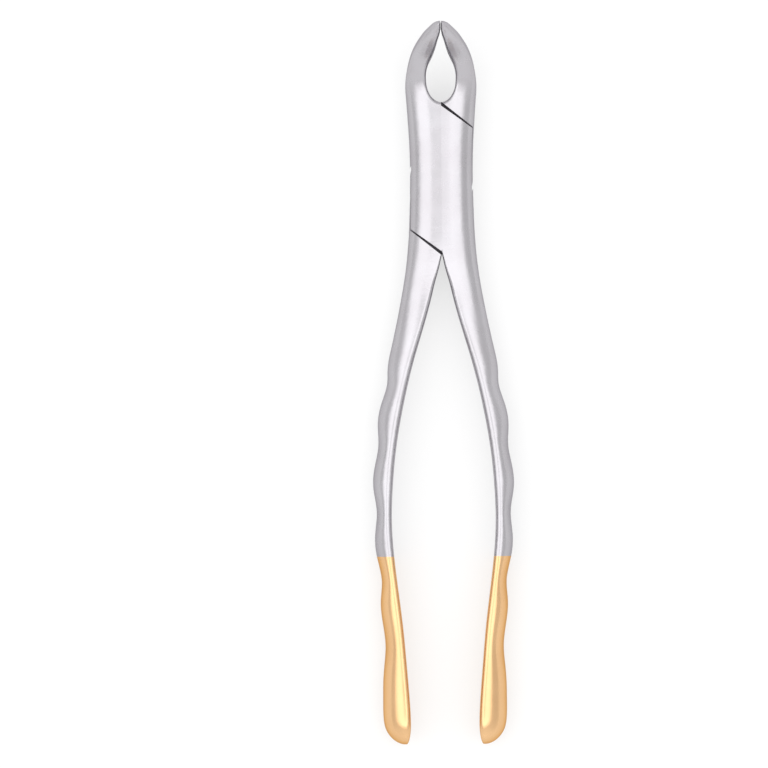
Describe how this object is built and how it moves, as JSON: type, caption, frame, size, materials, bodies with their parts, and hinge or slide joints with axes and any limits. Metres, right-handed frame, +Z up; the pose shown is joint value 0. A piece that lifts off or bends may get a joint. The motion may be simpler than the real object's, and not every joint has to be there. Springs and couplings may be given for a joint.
{
  "type": "extraction forceps",
  "caption": "Dental extraction forceps with a box joint, upturned serrated beaks with a tooth gap, and bowed finger-grip handles with gold-plated ends.",
  "frame": {"origin": "where the pivot axis meets the flat ground on the back of the joint, which is the plane the instrument rests on", "axes": "+Y from the joint towards the beaks, +Z up from the resting plane along the pivot axis, +X towards the handle of the box half"},
  "size_m": [0.0342, 0.1748, 0.0251],
  "materials": {
    "stainless_steel": "satin polish",
    "pin_steel": "satin polish",
    "gold_plating": "polished gold plating on steel"
  },
  "bodies": {
    "box_body": {"box_half": "stainless_steel", "box_half_gold_end": "gold_plating", "pivot_pin": "pin_steel"},
    "tongue_body": {"tongue_half": "stainless_steel", "tongue_half_gold_end": "gold_plating"}
  },
  "joints": [
    {"name": "jaw_pivot", "type": "hinge", "parent": "box_body", "child": "tongue_body", "pos_m": [0, 0, 0.00581], "axis": [0, 0, -1], "range_deg": [0, 30]}
  ]
}
